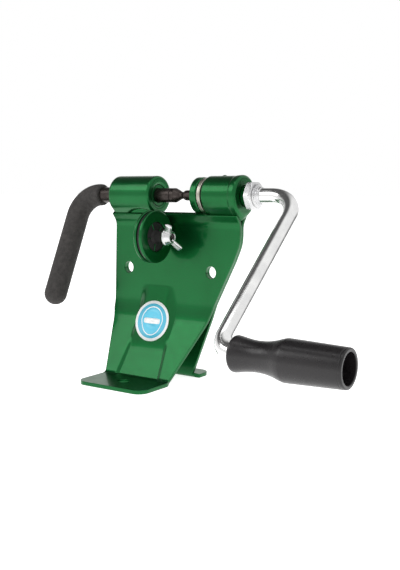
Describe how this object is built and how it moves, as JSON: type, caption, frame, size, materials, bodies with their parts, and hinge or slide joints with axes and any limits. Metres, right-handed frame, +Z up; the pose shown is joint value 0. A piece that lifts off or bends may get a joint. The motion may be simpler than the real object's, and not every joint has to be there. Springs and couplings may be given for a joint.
{
  "type": "saw chain rivet spinner",
  "caption": "Bench-mounted saw chain rivet spinner: screw-fed punch opposite a hand-cranked spinner, over a grooved chain support wheel on a two-legged pressed stand.",
  "frame": {"origin": "centre of the front foot's bolt hole, in the bench plane under the foot", "axes": "+Z up from the bench, +X along the two spindles from the feed handle towards the crank, +Y from the front foot to the rear foot"},
  "size_m": [0.3158, 0.1463, 0.1673],
  "materials": {
    "green_paint": "gloss green enamel",
    "dark_steel": "blackened steel, semi-gloss",
    "zinc_steel": "bright zinc plate",
    "bronze": "plain sintered bronze",
    "black_plastic": "moulded, soft sheen",
    "black_foam": "matte sleeve",
    "black_insert": "matte black",
    "label_print": "printed label, blue with white"
  },
  "bodies": {
    "frame": {"front_plate": "green_paint", "rear_plate": "green_paint", "left_barrel": "green_paint", "right_barrel": "green_paint", "feed_bush": "dark_steel", "inner_bush": "bronze", "outer_bush": "bronze", "oil_cup": "green_paint", "safety_label": "label_print", "disc_lug": "green_paint", "disc_stud": "dark_steel"},
    "punch": {"punch": "dark_steel"},
    "screw": {"feed_spindle": "dark_steel", "handle_rod": "dark_steel", "cross_pin": "dark_steel", "handle_sleeve": "black_foam"},
    "spinner": {"spinner_tip": "dark_steel", "spinner_shaft": "zinc_steel", "drive_collar": "green_paint", "collar_screw": "dark_steel", "thrust_ring": "zinc_steel", "lock_nut": "zinc_steel", "crank_collar": "zinc_steel", "crank_rod": "zinc_steel", "grip_washer": "zinc_steel", "grip_clip": "dark_steel"},
    "grip": {"crank_grip": "black_plastic"},
    "wheel": {"rear_disc": "green_paint", "spacer_ring": "black_insert", "front_disc": "green_paint", "hub_insert": "black_insert"},
    "wing_washer": {"nut_washer": "dark_steel"},
    "wing": {"wing_nut": "zinc_steel"}
  },
  "joints": [
    {"name": "feed_slide", "type": "slide", "parent": "frame", "child": "punch", "axis": [1, 0, 0], "range_m": [-0.0121, 0]},
    {"name": "feed_turn", "type": "hinge", "parent": "punch", "child": "screw", "pos_m": [0, 0.049, 0.15], "axis": [1, 0, 0], "range_deg": [-2160, 0]},
    {"name": "crank_spin", "type": "hinge", "parent": "frame", "child": "spinner", "pos_m": [0, 0.049, 0.15], "axis": [1, 0, 0], "continuous": true},
    {"name": "grip_spin", "type": "hinge", "parent": "spinner", "child": "grip", "pos_m": [0.18, -0.0627, 0.0529], "axis": [1, 0, 0], "continuous": true},
    {"name": "wheel_turn", "type": "hinge", "parent": "frame", "child": "wheel", "pos_m": [0, 0.0235, 0.1175], "axis": [1, 0, 0], "continuous": true},
    {"name": "wing_slide", "type": "slide", "parent": "frame", "child": "wing_washer", "axis": [1, 0, 0], "range_m": [0, 0.00305]},
    {"name": "wing_turn", "type": "hinge", "parent": "wing_washer", "child": "wing", "pos_m": [0, 0.0235, 0.1175], "axis": [1, 0, 0], "range_deg": [0, 1080]}
  ],
  "couplings": [
    {"joint": "feed_slide", "follows": "feed_turn", "m_per_rad": 0.0003183},
    {"joint": "wing_slide", "follows": "wing_turn", "m_per_rad": 0.0001592}
  ]
}
